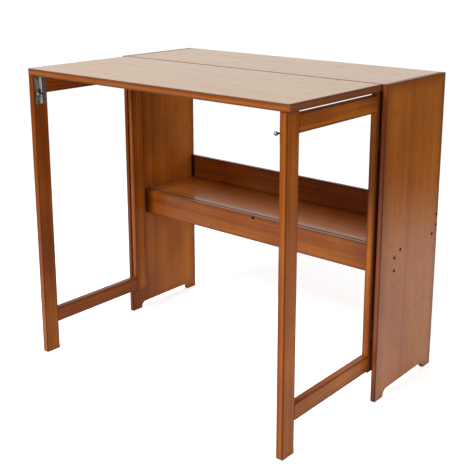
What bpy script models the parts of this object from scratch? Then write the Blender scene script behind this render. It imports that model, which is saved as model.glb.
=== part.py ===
import math

import bmesh
import bpy
from mathutils import Matrix, Vector

# Driving sizes in metres. X runs along the width, Y from the front edge to the back, Z up.
desk_height = 0.750
inner_width = 0.808
top_thickness = 0.016
flap_depth = 0.334
seam_gap = 0.002
rear_board_depth = 0.264
flap_end_gap = 0.0025
flap_corner_radius = 0.010
flap_corner_steps = 5
tongue_depth = 0.006
tongue_thickness = 0.005
tongue_inset = 0.022

# Side panels, each with an arch between two feet.
panel_thickness = 0.012
panel_front_reach = 0.004
foot_length = 0.036
foot_radius = 0.016
foot_height = 0.017
foot_steps = 5

# Shelf group between the side panels.
shelf_top = 0.361
shelf_thickness = 0.012
apron_height = 0.068
apron_thickness = 0.012
apron_setback = 0.057
back_rail_height = 0.078
back_rail_thickness = 0.012

# Gate frames. The hinge pin stands in the gap between the stile and the side panel.
gate_gap = 0.008
gate_thickness = 0.017
member_width = 0.040
leg_setback = 0.001
pin_setback = 0.034
stile_past_pin = 0.002
rail_height = 0.038
top_rail_drop = 0.0077
bottom_rail_lift = 0.075
stile_foot = 0.005
tenon_thickness = 0.008
tenon_height = 0.026
tenon_depth = 0.012

# Clearances.
touch_gap = 0.0003
bore_gap = 0.0003
end_gap = 0.001
run_gap = 0.0004
lock_bore_gap = 0.001

# Edge breaks.
board_edge = 0.0012
member_edge = 0.0012
plate_edge = 0.0003

# Butt hinges, each a leaf with two knuckles, a leaf with one, and a pin.
leaf_thickness = 0.0015
leaf_width = 0.028
leaf_length = 0.050
pin_radius = 0.0014
pin_head_radius = 0.0022
pin_head_height = 0.0008
notch_gap = 0.0006
leaf_screw_inset = 0.009
leaf_screw_spread = 0.030
leaf_screw_head = 0.0027
leaf_screw_dome = 0.0007
leaf_screw_shank = 0.0014
leaf_screw_length = 0.0075
flap_hinge_x = 0.230
gate_hinge_low = 0.180
gate_hinge_drop = 0.1057

# Cap screws through the side panels and into the shelf edges.
cap_head_radius = 0.0036
cap_head_height = 0.0025
cap_sink = 0.004
cap_shank_radius = 0.0022
cap_length = 0.034
cap_socket_radius = 0.0021
cap_socket_depth = 0.0014
shelf_screw_front = 0.031
shelf_screw_rear = 0.026
apron_screw_low = 0.017
apron_screw_high = 0.048
rail_screw_low = 0.024
rail_screw_high = 0.051

# Sliding bolt on the inner face of each front leg.
bolt_plate_height = 0.070
bolt_plate_width = 0.034
bolt_plate_thickness = 0.0015
bolt_plate_drop = 0.002
bolt_plate_setback = 0.004
bolt_axis_setback = 0.0175
bolt_radius = 0.0035
barrel_radius = 0.0055
barrel_sunk = 0.0008
barrel_length = 0.030
barrel_drop = 0.001
guide_length = 0.014
guide_lift = 0.004
bolt_tip_drop = 0.0007
bolt_tip_taper = 0.0015
bolt_tail_lift = 0.003
bolt_throw = 0.009
lock_bore_spare = 0.0015
knob_lift = 0.0095
stem_radius = 0.002
stem_bite = 0.0022
stem_reach = 0.0098
knob_radius = 0.0045
knob_turn = 66.0
bolt_screw_setback = 0.0285
bolt_middle_setback = 0.0075
bolt_screw_spread = 0.027
bolt_screw_head = 0.0029
bolt_screw_dome = 0.0008
bolt_screw_shank = 0.0014
bolt_screw_length = 0.010
bolt_screw_slot = 0.0008
bolt_screw_slot_depth = 0.0005

# Planes that follow from the sizes.
half_inner = inner_width / 2
half_outer = half_inner + panel_thickness
total_depth = flap_depth + seam_gap + rear_board_depth
y_front = -total_depth / 2
y_back = total_depth / 2
y_flap_rear = y_front + flap_depth
y_seam = y_flap_rear + seam_gap / 2
y_board = y_flap_rear + seam_gap
y_panel = y_board - panel_front_reach
z_under = desk_height - top_thickness
z_gate_top = z_under - touch_gap
x_gate_out = half_inner - gate_gap
x_gate_in = x_gate_out - gate_thickness
x_pin = half_inner - gate_gap / 2
knuckle_radius = gate_gap / 2 - touch_gap
y_pin = y_panel + pin_setback
y_leg = y_front + leg_setback
y_leg_rear = y_leg + member_width
y_stile_rear = y_pin + stile_past_pin
y_stile = y_stile_rear - member_width
z_top_rail = z_gate_top - top_rail_drop - rail_height
y_apron = y_panel + apron_setback
y_apron_back = y_apron + apron_thickness
y_rail = y_back - back_rail_thickness
z_apron = shelf_top - apron_height
z_shelf = shelf_top - shelf_thickness
z_shelf_mid = shelf_top - shelf_thickness / 2
z_flap_axis = z_under - touch_gap - knuckle_radius
gate_hinge_high = z_gate_top - gate_hinge_drop
sides = (("left", -1), ("right", 1))

for old in list(bpy.data.objects):
    bpy.data.objects.remove(old, do_unlink=True)

desk = bpy.data.collections.new("folding_desk")
cutters = bpy.data.collections.new("cutters")
for collection in (desk, cutters):
    bpy.context.scene.collection.children.link(collection)


def surface(name, colour, metallic, roughness):
    made = bpy.data.materials.new(name)
    made.use_nodes = True
    shader = made.node_tree.nodes["Principled BSDF"]
    shader.inputs["Base Color"].default_value = (*colour, 1.0)
    shader.inputs["Metallic"].default_value = metallic
    shader.inputs["Roughness"].default_value = roughness
    return made


bamboo = surface("stained_bamboo", (0.38, 0.12, 0.02), 0.0, 0.35)
zinc = surface("zinc_plate", (0.62, 0.60, 0.56), 1.0, 0.35)
black_steel = surface("blackened_steel", (0.05, 0.045, 0.04), 1.0, 0.45)


def place(name, mesh, material, origin=(0, 0, 0), turn=None):
    made = bpy.data.objects.new(name, mesh)
    desk.objects.link(made)
    made.matrix_world = Matrix.Translation(Vector(origin)) @ (turn or Matrix()).to_4x4()
    if not mesh.materials:
        mesh.materials.append(material)
    return made


def helper(name, shape):
    mesh = bpy.data.meshes.new(name)
    shape.to_mesh(mesh)
    shape.free()
    made = bpy.data.objects.new(name, mesh)
    cutters.objects.link(made)
    made.hide_render = True
    made.display_type = "WIRE"
    return made


def add_box(shape, x, y, z):
    x, y, z = sorted(x), sorted(y), sorted(z)
    size = Matrix.Diagonal((x[1] - x[0], y[1] - y[0], z[1] - z[0], 1.0))
    middle = Matrix.Translation(((x[0] + x[1]) / 2, (y[0] + y[1]) / 2, (z[0] + z[1]) / 2))
    bmesh.ops.create_cube(shape, size=1.0, matrix=middle @ size)


def aim(direction):
    return Vector((0, 0, 1)).rotation_difference(Vector(direction).normalized()).to_matrix().to_4x4()


def add_rod(shape, start, direction, length, radius, end_radius=None, segments=10):
    # A rod, or a cone where the end radius differs, from the start point along the direction.
    middle = Vector(start) + Vector(direction).normalized() * (length / 2)
    bmesh.ops.create_cone(
        shape, cap_ends=True, segments=segments, radius1=radius,
        radius2=radius if end_radius is None else end_radius, depth=length,
        matrix=Matrix.Translation(middle) @ aim(direction))


def bevel(made, width, segments=2):
    edge = made.modifiers.new("edges", "BEVEL")
    edge.width = width
    edge.segments = segments
    edge.limit_method = "ANGLE"
    edge.angle_limit = math.radians(40)


def combine(made, other, operation, label):
    step = made.modifiers.new(label, "BOOLEAN")
    step.solver = "EXACT"
    step.operation = operation
    step.object = other


def board(name, x, y, z, edge, origin=(0, 0, 0)):
    shape = bmesh.new()
    add_box(shape, x, y, z)
    bmesh.ops.translate(shape, vec=-Vector(origin), verts=shape.verts)
    mesh = bpy.data.meshes.new(name)
    shape.to_mesh(mesh)
    shape.free()
    made = place(name, mesh, bamboo, origin)
    bevel(made, edge)
    return made


def outline_mesh(name, points, thickness):
    # A flat outline in the local XY plane, made solid by half its thickness to each side.
    curve = bpy.data.curves.new(name, "CURVE")
    curve.dimensions = "2D"
    curve.fill_mode = "BOTH"
    curve.extrude = thickness / 2
    spline = curve.splines.new("POLY")
    spline.points.add(len(points) - 1)
    for point, (x, y) in zip(spline.points, points):
        point.co = (x, y, 0.0, 1.0)
    spline.use_cyclic_u = True
    guide = bpy.data.objects.new(name + "_outline", curve)
    bpy.context.scene.collection.objects.link(guide)
    mesh = bpy.data.meshes.new_from_object(guide.evaluated_get(bpy.context.evaluated_depsgraph_get()))
    bpy.data.objects.remove(guide)
    shape = bmesh.new()
    shape.from_mesh(mesh)
    bmesh.ops.remove_doubles(shape, verts=shape.verts, dist=0.00001)
    bmesh.ops.dissolve_limit(shape, angle_limit=0.001, verts=shape.verts, edges=shape.edges)
    bmesh.ops.recalc_face_normals(shape, faces=shape.faces)
    shape.to_mesh(mesh)
    shape.free()
    mesh.name = name
    return mesh


def turned(name, profile, segments):
    # A profile of (radius, height) from the top end down to the bottom end, turned round Z.
    mesh = bpy.data.meshes.new(name)
    shape = bmesh.new()
    points = [shape.verts.new((radius, 0, height)) for radius, height in profile]
    for first, second in zip(points, points[1:]):
        shape.edges.new((first, second))
    shape.to_mesh(mesh)
    shape.free()
    made = bpy.data.objects.new(name, mesh)
    cutters.objects.link(made)
    screw = made.modifiers.new("turn", "SCREW")
    screw.steps = segments
    screw.render_steps = segments
    screw.use_merge_vertices = True
    screw.merge_threshold = 0.00001
    return made


def settle(made):
    # The evaluated mesh of a helper, so that several objects can share it.
    bpy.context.view_layer.update()
    mesh = bpy.data.meshes.new_from_object(made.evaluated_get(bpy.context.evaluated_depsgraph_get()))
    mesh.materials.clear()
    bpy.data.objects.remove(made)
    mesh.shade_smooth()
    mesh.set_sharp_from_angle(angle=math.radians(35))
    return mesh


# Every hole of a piece is gathered here first, so that the piece takes one cut.
holes = {}


def hole(piece, start, direction, length, radius, segments=8):
    add_rod(holes.setdefault(piece, bmesh.new()), start, direction, length, radius, segments=segments)


def slot(piece, x, y, z):
    add_box(holes.setdefault(piece, bmesh.new()), x, y, z)


# Side panels.
outline = [(y_panel, 0.0), (y_panel + foot_length, 0.0)]
for step in range(foot_steps + 1):
    angle = math.pi / 2 * step / foot_steps
    outline.append((y_panel + foot_length + foot_radius * (1 - math.cos(angle)),
                    foot_height - foot_radius * (1 - math.sin(angle))))
for step in range(foot_steps + 1):
    angle = math.pi / 2 * step / foot_steps
    outline.append((y_back - foot_length - foot_radius * (1 - math.sin(angle)),
                    foot_height - foot_radius * (1 - math.cos(angle))))
outline += [(y_back - foot_length, 0.0), (y_back, 0.0), (y_back, desk_height), (y_panel, desk_height)]
upright = Matrix(((0, 0, 1), (1, 0, 0), (0, 1, 0)))
panel_mesh = outline_mesh("side_panel", outline, panel_thickness)
for side, sign in sides:
    x_panel = sign * (half_inner + half_outer) / 2
    panel = place(f"side_panel_{side}", panel_mesh.copy(), bamboo, (x_panel, 0, 0), upright)
    bevel(panel, board_edge)

# Boards between the panels. The rear board has a tongue at each end that sits in a groove of the panel.
wide = half_inner - touch_gap
rear_board = board("rear_top_board", (-wide, wide), (y_board, y_back), (z_under, desk_height), board_edge)
z_tongue = desk_height - top_thickness / 2
tongues = bmesh.new()
for side, sign in sides:
    y_span = (y_board + tongue_inset, y_back - tongue_inset)
    z_span = (z_tongue - tongue_thickness / 2, z_tongue + tongue_thickness / 2)
    add_box(tongues, (sign * (wide - tongue_depth), sign * (half_inner + tongue_depth)), y_span, z_span)
    slot(f"side_panel_{side}", (sign * (half_inner - end_gap), sign * (half_inner + tongue_depth + end_gap)),
         (y_span[0] - bore_gap, y_span[1] + bore_gap), (z_span[0] - bore_gap, z_span[1] + bore_gap))
combine(rear_board, helper("rear_board_tongues", tongues), "UNION", "tongues")
board("shelf_board", (-wide, wide), (y_apron_back + touch_gap, y_rail - touch_gap), (z_shelf, shelf_top),
      board_edge)
board("shelf_apron", (-wide, wide), (y_apron, y_apron_back), (z_apron, shelf_top), board_edge)
board("shelf_back_rail", (-wide, wide), (y_rail, y_back), (z_shelf, z_shelf + back_rail_height), board_edge)

# Cap screws. The mesh runs down its own Z from the face that it is sunk in.
cap = turned("cap_screw", [
    (0.0, cap_head_height - cap_sink),
    (cap_head_radius, cap_head_height - cap_sink),
    (cap_head_radius, -cap_sink),
    (cap_shank_radius, -cap_sink),
    (cap_shank_radius, cap_head_height - cap_sink - cap_length),
    (0.0, cap_head_height - cap_sink - cap_length)], 12)
socket = bmesh.new()
add_rod(socket, (0, 0, cap_head_height - cap_sink - cap_socket_depth), (0, 0, 1), cap_socket_depth + end_gap,
        cap_socket_radius, segments=6)
combine(cap, helper("cap_socket", socket), "DIFFERENCE", "socket")
cap_mesh = settle(cap)


def cap_screw(name, outer, thickness, inner, face, outward):
    face, outward = Vector(face), Vector(outward)
    place(name, cap_mesh, black_steel, face, aim(outward))
    hole(outer, face + outward * end_gap, -outward, end_gap + cap_sink + touch_gap,
         cap_head_radius + bore_gap, segments=12)
    seat = face - outward * cap_sink
    hole(outer + ".shank", seat, -outward, thickness - cap_sink + end_gap, cap_shank_radius + bore_gap)
    deep = cap_length - cap_head_height + cap_sink - thickness
    hole(inner, face - outward * (thickness - end_gap), -outward, deep + end_gap * 2,
         cap_shank_radius + bore_gap)


for side, sign in sides:
    y_apron_mid = y_apron + apron_thickness / 2
    y_rail_mid = y_rail + back_rail_thickness / 2
    for label, inner, y, z in (
        ("shelf_screw_front", "shelf_board", y_apron + shelf_screw_front, z_shelf_mid),
        ("shelf_screw_rear", "shelf_board", y_back - shelf_screw_rear, z_shelf_mid),
        ("apron_screw_low", "shelf_apron", y_apron_mid, z_apron + apron_screw_low),
        ("apron_screw_high", "shelf_apron", y_apron_mid, z_apron + apron_screw_high),
        ("back_rail_screw_low", "shelf_back_rail", y_rail_mid, z_shelf + rail_screw_low),
        ("back_rail_screw_high", "shelf_back_rail", y_rail_mid, z_shelf + rail_screw_high),
    ):
        cap_screw(f"{label}_{side}", f"side_panel_{side}", panel_thickness, inner,
                  (sign * half_outer, y, z), (sign, 0, 0))
cap_screw("apron_middle_screw", "shelf_apron", apron_thickness, "shelf_board",
          (0, y_apron, z_shelf_mid), (0, -1, 0))
cap_screw("back_rail_middle_screw", "shelf_back_rail", back_rail_thickness, "shelf_board",
          (0, y_back, z_shelf_mid), (0, 1, 0))

# The flap turns about the hinge pins under the seam. Its front corners are rounded.
half_flap = half_inner - flap_end_gap
outline = []
for sign in (-1, 1):
    for step in range(flap_corner_steps + 1):
        turn = math.pi / 2 * step / flap_corner_steps
        turn = turn if sign < 0 else math.pi / 2 - turn
        outline.append((sign * (half_flap - flap_corner_radius * (1 - math.cos(turn))),
                        -flap_depth - seam_gap / 2 + flap_corner_radius * (1 - math.sin(turn))))
outline += [(half_flap, -seam_gap / 2), (-half_flap, -seam_gap / 2)]
flap_mesh = outline_mesh("flap_board", outline, top_thickness)
flap_mesh.transform(Matrix.Translation((0, 0, desk_height - top_thickness / 2 - z_flap_axis)))
bevel(place("flap_board", flap_mesh, bamboo, (0, y_seam, z_flap_axis)), board_edge)

# Hinge leaves. The pin is the local Z axis, the leaf lies on the -X side of it and runs toward -Y.
third = leaf_length / 3
spans = [(-leaf_length / 2, -third / 2), (-third / 2, third / 2), (third / 2, leaf_length / 2)]


def leaf_mesh(name, own):
    shape = bmesh.new()
    add_box(shape, (-knuckle_radius, leaf_thickness - knuckle_radius), (-leaf_width, -touch_gap),
            (-leaf_length / 2, leaf_length / 2))
    mesh = bpy.data.meshes.new(name)
    shape.to_mesh(mesh)
    shape.free()
    leaf = bpy.data.objects.new(name, mesh)
    cutters.objects.link(leaf)
    knuckles, notches, screws, pin_hole = bmesh.new(), bmesh.new(), bmesh.new(), bmesh.new()
    for index, (low, high) in enumerate(spans):
        if index in own:
            add_rod(knuckles, (0, 0, low + run_gap / 2), (0, 0, 1), high - low - run_gap,
                    knuckle_radius - touch_gap)
        else:
            reach = knuckle_radius + notch_gap
            add_box(notches, (-reach, reach), (-reach, end_gap),
                    (low - (run_gap if index else end_gap), high + (run_gap if index < 2 else end_gap)))
    for shift in (-leaf_screw_spread / 2, leaf_screw_spread / 2):
        y = leaf_screw_inset - leaf_width
        x = leaf_thickness - knuckle_radius
        add_rod(screws, (x - leaf_thickness / 2, y, shift), (1, 0, 0), leaf_thickness / 2 + leaf_screw_dome,
                leaf_screw_head, leaf_screw_head * 0.7, segments=8)
        add_rod(screws, (x - leaf_thickness / 4, y, shift), (-1, 0, 0), leaf_screw_length, leaf_screw_shank,
                segments=6)
    add_rod(pin_hole, (0, 0, -leaf_length), (0, 0, 1), leaf_length * 2, pin_radius + run_gap, segments=8)
    combine(leaf, helper(name + "_notches", notches), "DIFFERENCE", "notches")
    combine(leaf, helper(name + "_knuckles", knuckles), "UNION", "knuckles")
    combine(leaf, helper(name + "_pin_hole", pin_hole), "DIFFERENCE", "pin hole")
    join = helper(name + "_screws", screws)
    combine(leaf, join, "UNION", "screws")
    leaf.modifiers["screws"].use_self = True
    return settle(leaf)


double_leaf = leaf_mesh("double_knuckle_leaf", (0, 2))
single_leaf = leaf_mesh("single_knuckle_leaf", (1,))
pin_half = leaf_length / 2 + touch_gap
pin_mesh = settle(turned("hinge_pin", [
    (0.0, pin_half + pin_head_height), (pin_head_radius, pin_half + pin_head_height),
    (pin_head_radius, pin_half), (pin_radius, pin_half),
    (pin_radius, -pin_half), (pin_head_radius, -pin_half),
    (pin_head_radius, -pin_half - pin_head_height), (0.0, -pin_half - pin_head_height)], 8))


def leaf(name, mesh, piece, centre, out, normal):
    # normal points from the face under the leaf toward the pin, and out runs across the leaf from the pin.
    out, normal, centre = Vector(out), Vector(normal), Vector(centre)
    turn = Matrix((normal, -out, normal.cross(-out))).transposed()
    place(name, mesh, zinc, centre, turn)
    for shift in (-leaf_screw_spread / 2, leaf_screw_spread / 2):
        start = centre + turn @ Vector((-knuckle_radius + end_gap, leaf_screw_inset - leaf_width, shift))
        depth = leaf_screw_length - leaf_thickness * 0.75 + end_gap * 2
        hole(piece, start, -normal, depth, leaf_screw_shank + bore_gap)


for side, sign in sides:
    centre = (sign * flap_hinge_x, y_seam, z_flap_axis)
    leaf(f"flap_hinge_{side}_board_leaf", double_leaf, "rear_top_board", centre, (0, 1, 0), (0, 0, -1))
    leaf(f"flap_hinge_{side}_flap_leaf", single_leaf, "flap_board", centre, (0, -1, 0), (0, 0, -1))
    place(f"flap_hinge_{side}_pin", pin_mesh, zinc, centre, aim((1, 0, 0)))

# Gate frames with their hinges and bolts.
for side, sign in sides:
    axis_foot = (sign * x_pin, y_pin, 0)
    x_span = (sign * x_gate_in, sign * x_gate_out)
    x_mid = sign * (x_gate_in + x_gate_out) / 2
    leg, stile = f"front_leg_{side}", f"rear_stile_{side}"
    board(leg, x_span, (y_leg, y_leg_rear), (0, z_gate_top), member_edge, axis_foot)
    board(stile, x_span, (y_stile, y_stile_rear), (bottom_rail_lift - stile_foot, z_gate_top), member_edge,
          axis_foot)
    for level, z in (("top", z_top_rail), ("bottom", bottom_rail_lift)):
        rail = board(f"{level}_rail_{side}", x_span, (y_leg_rear + touch_gap, y_stile - touch_gap),
                     (z, z + rail_height), member_edge, axis_foot)
        tenons = bmesh.new()
        x_tenon = (x_mid - tenon_thickness / 2, x_mid + tenon_thickness / 2)
        z_mid = z + rail_height / 2
        z_tenon = (z_mid - tenon_height / 2, z_mid + tenon_height / 2)
        for piece, face, way in ((leg, y_leg_rear, -1), (stile, y_stile, 1)):
            add_box(tenons, x_tenon, (face - way * tenon_depth, face + way * tenon_depth), z_tenon)
            slot(piece, (x_tenon[0] - bore_gap, x_tenon[1] + bore_gap),
                 (face - way * end_gap, face + way * (tenon_depth + end_gap)),
                 (z_tenon[0] - bore_gap, z_tenon[1] + bore_gap))
        bmesh.ops.translate(tenons, vec=-Vector(axis_foot), verts=tenons.verts)
        ends = helper(rail.name + "_tenons", tenons)
        ends.location = axis_foot
        combine(rail, ends, "UNION", "tenons")
    for level, z in (("low", gate_hinge_low), ("high", gate_hinge_high)):
        name = f"gate_hinge_{side}_{level}"
        centre = (sign * x_pin, y_pin, z)
        leaf(f"{name}_panel_leaf", double_leaf, f"side_panel_{side}", centre, (0, -1, 0), (-sign, 0, 0))
        leaf(f"{name}_gate_leaf", single_leaf, stile, centre, (0, -1, 0), (sign, 0, 0))
        place(f"{name}_pin", pin_mesh, zinc, centre)

    # The bolt body is one piece: a plate, a barrel at the top and a tail guide at the foot.
    inward = -sign
    x_face = sign * (x_gate_in - touch_gap)
    x_plate = x_face + inward * bolt_plate_thickness
    x_bolt = x_plate + inward * (barrel_radius - barrel_sunk)
    y_bolt = y_leg + bolt_axis_setback
    y_plate = y_leg + bolt_plate_setback
    z_plate_top = z_gate_top - bolt_plate_drop
    z_plate = z_plate_top - bolt_plate_height
    z_guide = z_plate + guide_lift
    name = f"bolt_body_{side}"
    shape = bmesh.new()
    add_box(shape, (x_face, x_plate), (y_plate, y_plate + bolt_plate_width), (z_plate, z_plate_top))
    bmesh.ops.translate(shape, vec=-Vector(axis_foot), verts=shape.verts)
    mesh = bpy.data.meshes.new(name)
    shape.to_mesh(mesh)
    shape.free()
    body = place(name, mesh, zinc, axis_foot)
    bevel(body, plate_edge, 1)
    tubes = bmesh.new()
    add_rod(tubes, (x_bolt, y_bolt, z_plate_top - barrel_drop), (0, 0, -1), barrel_length, barrel_radius,
            segments=20)
    add_rod(tubes, (x_bolt, y_bolt, z_guide), (0, 0, 1), guide_length, barrel_radius, segments=20)
    combine(body, helper(name + "_tubes", tubes), "UNION", "tubes")
    hole(name, (x_bolt, y_bolt, z_plate - bolt_plate_height), (0, 0, 1), bolt_plate_height * 3,
         bolt_radius + run_gap, segments=20)
    for level, setback, shift in (("low", bolt_screw_setback, -bolt_screw_spread),
                                  ("middle", bolt_middle_setback, 0.0),
                                  ("high", bolt_screw_setback, bolt_screw_spread)):
        face = Vector((x_plate, y_leg + setback, (z_plate + z_plate_top) / 2 + shift))
        fixing = turned("bolt_screw", [
            (0.0, bolt_screw_dome), (bolt_screw_head * 0.7, bolt_screw_dome * 0.75),
            (bolt_screw_head, touch_gap), (bolt_screw_shank, touch_gap),
            (bolt_screw_shank, -bolt_screw_length), (0.0, -bolt_screw_length)], 10)
        cross = bmesh.new()
        arm, half = bolt_screw_head * 0.62, bolt_screw_slot / 2
        for wide_x, wide_y in ((arm, half), (half, arm)):
            add_box(cross, (-wide_x, wide_x), (-wide_y, wide_y),
                    (bolt_screw_dome - bolt_screw_slot_depth, bolt_screw_head))
        combine(fixing, helper("bolt_screw_cross", cross), "DIFFERENCE", "cross")
        fixing.modifiers["cross"].use_self = True
        place(f"bolt_screw_{side}_{level}", settle(fixing), zinc, face, aim((inward, 0, 0)))
        hole(name, face + Vector((inward * end_gap, 0, 0)), (-inward, 0, 0),
             bolt_plate_thickness + end_gap * 2, bolt_screw_shank + bore_gap)
        hole(leg, face, (-inward, 0, 0), bolt_screw_length + end_gap, bolt_screw_shank + bore_gap)

    # The round bolt and its ball knob, drawn down clear of the flap.
    z_tip = z_under - bolt_tip_drop
    z_tail = z_plate + bolt_tail_lift
    centre = Vector((x_bolt, y_bolt, z_guide + guide_length + knob_lift))
    tip, tail = z_tip - centre.z, z_tail - centre.z
    rod_mesh = settle(turned("bolt_rod", [
        (0.0, tip), (bolt_radius - bolt_tip_taper, tip), (bolt_radius, tip - bolt_tip_taper),
        (bolt_radius, tail + bolt_tip_taper / 2), (bolt_radius - bolt_tip_taper / 2, tail), (0.0, tail)], 16))
    place(f"bolt_rod_{side}", rod_mesh, zinc, centre)
    angle = math.radians(knob_turn)
    out = Vector((inward * math.cos(angle), -math.sin(angle), 0))
    hole(f"bolt_rod_{side}", centre + out * (bolt_radius - stem_bite), out, bolt_radius * 2,
         stem_radius + bore_gap)
    ball = stem_reach + knob_radius
    root = bolt_radius - stem_bite + touch_gap
    neck = math.asin(stem_radius / knob_radius)
    profile = [(knob_radius * math.sin((math.pi - neck) * step / 10),
                ball + knob_radius * math.cos((math.pi - neck) * step / 10)) for step in range(11)]
    profile += [(stem_radius, root), (0.0, root)]
    place(f"bolt_knob_{side}", settle(turned("bolt_knob", profile, 16)), zinc, centre, aim(out))
    hole("flap_board", (x_bolt, y_bolt, z_under - end_gap), (0, 0, 1),
         end_gap + bolt_throw - bolt_tip_drop + lock_bore_spare, bolt_radius + lock_bore_gap, segments=16)

for label, shape in holes.items():
    piece = label.split(".")[0]
    cut = helper(label + "_holes", shape)
    combine(bpy.data.objects[piece], cut, "DIFFERENCE", "holes" + label[len(piece):])
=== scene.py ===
import bpy
import math
from mathutils import Matrix, Vector


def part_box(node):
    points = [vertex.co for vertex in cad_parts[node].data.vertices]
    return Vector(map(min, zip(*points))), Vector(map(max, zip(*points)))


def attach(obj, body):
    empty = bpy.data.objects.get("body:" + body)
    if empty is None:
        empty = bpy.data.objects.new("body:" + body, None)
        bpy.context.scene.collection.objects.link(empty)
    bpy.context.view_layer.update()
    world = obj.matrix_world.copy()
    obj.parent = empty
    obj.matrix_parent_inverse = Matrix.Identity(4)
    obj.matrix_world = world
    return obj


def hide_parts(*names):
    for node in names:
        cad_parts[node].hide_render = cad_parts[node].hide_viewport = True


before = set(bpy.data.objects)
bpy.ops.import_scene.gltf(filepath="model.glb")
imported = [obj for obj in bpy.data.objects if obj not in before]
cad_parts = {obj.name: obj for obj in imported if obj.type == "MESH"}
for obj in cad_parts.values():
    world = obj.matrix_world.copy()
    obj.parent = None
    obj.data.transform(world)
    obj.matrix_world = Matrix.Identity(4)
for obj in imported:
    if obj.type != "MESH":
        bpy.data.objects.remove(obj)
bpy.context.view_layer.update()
scene = bpy.context.scene
bpy.ops.object.select_all(action="DESELECT")
print("frame loaded:", len(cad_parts), "nodes")

# camera at the photograph's place, for a square picture
cameraValues = dict(
    place=(1.3478, -1.5748, 1.0251),
    turn=0.7025,      # radians, to the left of straight back
    dip=0.2362,       # radians, below level
    lens=65.91,
    sensor=36,
    shiftUp=-0.1596,  # the photograph is cut off-centre
    farEnd=200,
)
bpy.ops.object.camera_add(location=cameraValues["place"],
                          rotation=(math.pi / 2 - cameraValues["dip"], 0, cameraValues["turn"]))
camera = bpy.context.object
camera.name = "deskCamera"
camera.data.sensor_width = cameraValues["sensor"]
camera.data.lens = cameraValues["lens"]
camera.data.shift_y = cameraValues["shiftUp"]
camera.data.clip_end = cameraValues["farEnd"]
scene.camera = camera
print("camera set")


def boxOf(node):
    return [Vector(corner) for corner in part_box(node)]


def middleOf(node):
    low, high = boxOf(node)
    return (low + high) / 2


# small helpers for node trees
def newGroup(name, inputs, outputs):
    tree = bpy.data.node_groups.new(name, "ShaderNodeTree")
    for label, kind, value in inputs:
        socket = tree.interface.new_socket(label, in_out="INPUT", socket_type="NodeSocket" + kind)
        if value is not None:
            socket.default_value = value
    for label, kind in outputs:
        tree.interface.new_socket(label, in_out="OUTPUT", socket_type="NodeSocket" + kind)
    return tree, tree.nodes.new("NodeGroupInput").outputs, tree.nodes.new("NodeGroupOutput").inputs


def placeGroup(tree, group, **terms):
    node = tree.nodes.new("ShaderNodeGroup")
    node.node_tree = group
    for label, term in terms.items():
        feed(tree, node.inputs[label.replace("_", " ")], term)
    return node.outputs


def feed(tree, socket, term):
    if isinstance(term, bpy.types.NodeSocket):
        tree.links.new(term, socket)
    else:
        socket.default_value = term


def calc(tree, operation, *terms):
    node = tree.nodes.new("ShaderNodeMath")
    node.operation = operation
    for i, term in enumerate(terms):
        feed(tree, node.inputs[i], term)
    return node.outputs[0]


def vecCalc(tree, operation, *terms):
    node = tree.nodes.new("ShaderNodeVectorMath")
    node.operation = operation
    for i, term in enumerate(terms):
        feed(tree, node.inputs[i], term)
    return node.outputs[0]


def spanOf(tree, vector):
    node = tree.nodes.new("ShaderNodeVectorMath")
    node.operation = "LENGTH"
    feed(tree, node.inputs[0], vector)
    return node.outputs["Value"]


def fade(tree, value, start, end, low=0.0, high=1.0):
    node = tree.nodes.new("ShaderNodeMapRange")
    node.interpolation_type = "SMOOTHSTEP"
    for i, term in enumerate((value, start, end, low, high)):
        feed(tree, node.inputs[i], term)
    return node.outputs[0]


def tint(tree, amount, first, second):
    node = tree.nodes.new("ShaderNodeMix")
    node.data_type = "RGBA"
    feed(tree, node.inputs[0], amount)
    feed(tree, node.inputs[6], first)
    feed(tree, node.inputs[7], second)
    return node.outputs[2]


def vec(tree, x, y, z):
    node = tree.nodes.new("ShaderNodeCombineXYZ")
    for i, term in enumerate((x, y, z)):
        feed(tree, node.inputs[i], term)
    return node.outputs[0]


def partsOf(tree, vector):
    node = tree.nodes.new("ShaderNodeSeparateXYZ")
    feed(tree, node.inputs[0], vector)
    return node.outputs


def noise(tree, vector, scale, detail=2.0, roughness=0.5):
    node = tree.nodes.new("ShaderNodeTexNoise")
    feed(tree, node.inputs["Vector"], vector)
    feed(tree, node.inputs["Scale"], scale)
    node.inputs["Detail"].default_value = detail
    node.inputs["Roughness"].default_value = roughness
    return node.outputs[0]


# laminated bamboo: strips side by side in plies, each with its own tone and its own knuckles
stripLook = dict(
    stagger=0.37,                       # share of a strip that each ply is moved by
    glueEdge=0.0012, glueCore=0.0001,   # metres from the middle of the line, as for knuckles and halos
    knuckleEdge=0.0030, knuckleCore=0.0006, haloEdge=0.016, haloCore=0.001, halo=0.38,
    knuckleThrow=9.0, wobble=0.016, wobbleAlong=9, wobbleAcross=150,
    fibreAlong=5, fibreAcross=900, fibreThrow=40, fibreDetail=3.0, fibreRough=0.6,
    streakAlong=2.2, streakAcross=190, streakStart=(3.7, 1.3), streakRough=0.55,
)


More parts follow.
